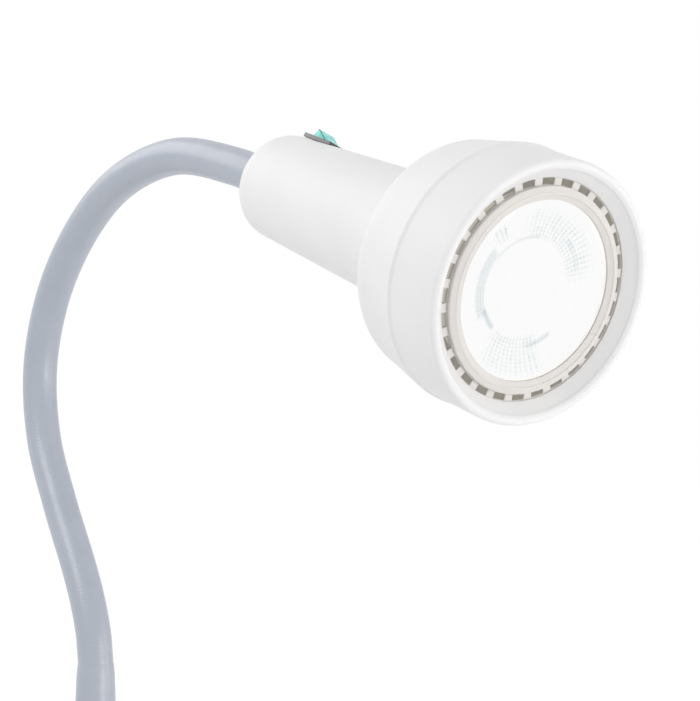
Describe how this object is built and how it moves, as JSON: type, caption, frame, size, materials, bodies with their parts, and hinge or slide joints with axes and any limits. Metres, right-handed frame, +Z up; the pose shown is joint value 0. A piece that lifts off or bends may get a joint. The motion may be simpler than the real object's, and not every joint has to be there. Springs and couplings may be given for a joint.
{
  "type": "examination lamp",
  "caption": "Round LED spotlight head with a rocker switch, on a flexible gooseneck arm that swivels in a table clamp.",
  "frame": {"origin": "on the face of the clamp's upper jaw, on the axis of the arm's column", "axes": "+Z up along the column, +X towards the lamp head as stored, +Y to the left when looking along +X"},
  "size_m": [0.4934, 0.125, 0.5369],
  "materials": {
    "housing_plastic": "satin",
    "lamp_trim": "satin",
    "lamp_metal": "satin",
    "lens_clear": "gloss",
    "reflector_mirror": "gloss",
    "led": "satin",
    "board": "satin",
    "ceramic": "satin",
    "dark_plastic": "satin",
    "brass": "satin",
    "rocker_green": "gloss",
    "wire": "satin",
    "steel": "brushed",
    "arm_sheath": "satin",
    "rubber": "matte",
    "enamel": "satin"
  },
  "bodies": {
    "clamp": {"clamp_body": "enamel", "jaw_pad": "rubber", "cable_gland": "rubber"},
    "lock": {"locking_screw": "dark_plastic"},
    "pad": {"pressure_pad": "steel"},
    "spindle": {"spindle": "steel"},
    "bar": {"tommy_bar": "steel", "bar_cap_left": "rubber", "bar_cap_right": "rubber"},
    "column": {"spigot": "steel", "foot_sleeve": "arm_sheath", "foot_ferrule": "steel"},
    "link_1": {"conduit_1": "steel", "sheath_1": "arm_sheath"},
    "link_2": {"conduit_2": "steel", "sheath_2": "arm_sheath"},
    "link_3": {"conduit_3": "steel", "sheath_3": "arm_sheath"},
    "link_4": {"conduit_4": "steel", "sheath_4": "arm_sheath"},
    "link_5": {"conduit_5": "steel", "sheath_5": "arm_sheath"},
    "link_6": {"conduit_6": "steel", "sheath_6": "arm_sheath"},
    "link_7": {"conduit_7": "steel", "sheath_7": "arm_sheath"},
    "link_8": {"conduit_8": "steel", "sheath_8": "arm_sheath"},
    "head": {"front_shroud": "housing_plastic", "vent_ring": "lamp_trim", "housing_upper": "housing_plastic", "housing_lower": "housing_plastic", "housing_screw_1": "steel", "housing_screw_2": "steel", "lamp_rim": "lamp_trim", "lamp_lens": "lens_clear", "lamp_reflector": "reflector_mirror", "led_module": "led", "lamp_body": "lamp_metal", "driver_board": "board", "cap_core": "dark_plastic", "screw_cap": "brass", "end_contact": "brass", "lampholder": "ceramic", "holder_sleeve": "brass", "centre_contact": "brass", "switch_housing": "dark_plastic", "switch_terminal_front": "brass", "switch_terminal_rear": "brass", "holder_lead": "wire", "switch_lead": "wire", "head_ferrule": "steel", "ferrule_washer": "steel", "ferrule_nut": "steel"},
    "rocker": {"rocker": "rocker_green"}
  },
  "joints": [
    {"name": "arm_swivel", "type": "hinge", "parent": "clamp", "child": "column", "pos_m": [0, 0, 0.04], "axis": [0, 0, 1], "range_deg": [-175, 175]},
    {"name": "arm_bend_1", "type": "hinge", "parent": "column", "child": "link_1", "pos_m": [-0.00184, 0, 0.13086], "axis": [0, -1, 0], "range_deg": [-24, 24]},
    {"name": "arm_bend_2", "type": "hinge", "parent": "link_1", "child": "link_2", "pos_m": [-0.02661, 0, 0.18434], "axis": [0, -1, 0], "range_deg": [-24, 24]},
    {"name": "arm_bend_3", "type": "hinge", "parent": "link_2", "child": "link_3", "pos_m": [-0.05748, 0, 0.23493], "axis": [0.8824, 0, 0.4705], "range_deg": [-24, 24]},
    {"name": "arm_bend_4", "type": "hinge", "parent": "link_3", "child": "link_4", "pos_m": [-0.07038, 0, 0.29204], "axis": [0, 1, 0], "range_deg": [-24, 24]},
    {"name": "arm_bend_5", "type": "hinge", "parent": "link_4", "child": "link_5", "pos_m": [-0.04899, 0, 0.34656], "axis": [0, 1, 0], "range_deg": [-24, 24]},
    {"name": "arm_bend_6", "type": "hinge", "parent": "link_5", "child": "link_6", "pos_m": [-0.00521, 0, 0.38603], "axis": [-0.5257, 0, 0.8506], "range_deg": [-24, 24]},
    {"name": "arm_bend_7", "type": "hinge", "parent": "link_6", "child": "link_7", "pos_m": [0.05017, 0, 0.40602], "axis": [0, 1, 0], "range_deg": [-24, 24]},
    {"name": "arm_bend_8", "type": "hinge", "parent": "link_7", "child": "link_8", "pos_m": [0.1091, 0, 0.40531], "axis": [0, 1, 0], "range_deg": [-24, 24]},
    {"name": "arm_bend_9", "type": "hinge", "parent": "link_8", "child": "head", "pos_m": [0.16617, 0, 0.38941], "axis": [-0.3425, 0, -0.9395], "range_deg": [-24, 24]},
    {"name": "rocker_toggle", "type": "hinge", "parent": "head", "child": "rocker", "pos_m": [0.21638, 0.00993, 0.40071], "axis": [0.1114, -0.9397, 0.3234], "range_deg": [0, 50]},
    {"name": "lock_turn", "type": "hinge", "parent": "clamp", "child": "lock", "pos_m": [0, -0.0213, 0.038], "axis": [0, -1, 0], "range_deg": [0, 360]},
    {"name": "pad_travel", "type": "slide", "parent": "clamp", "child": "pad", "axis": [0, 0, 1], "range_m": [-0.022, 0.022]},
    {"name": "spindle_turn", "type": "hinge", "parent": "pad", "child": "spindle", "pos_m": [0.005, 0, -0.08], "axis": [0, 0, 1], "range_deg": [-3960, 3960]},
    {"name": "bar_slide", "type": "slide", "parent": "spindle", "child": "bar", "axis": [0, 1, 0], "range_m": [-0.017, 0.017]}
  ],
  "couplings": [
    {"joint": "spindle_turn", "follows": "pad_travel", "rad_per_m": 3141.6}
  ]
}
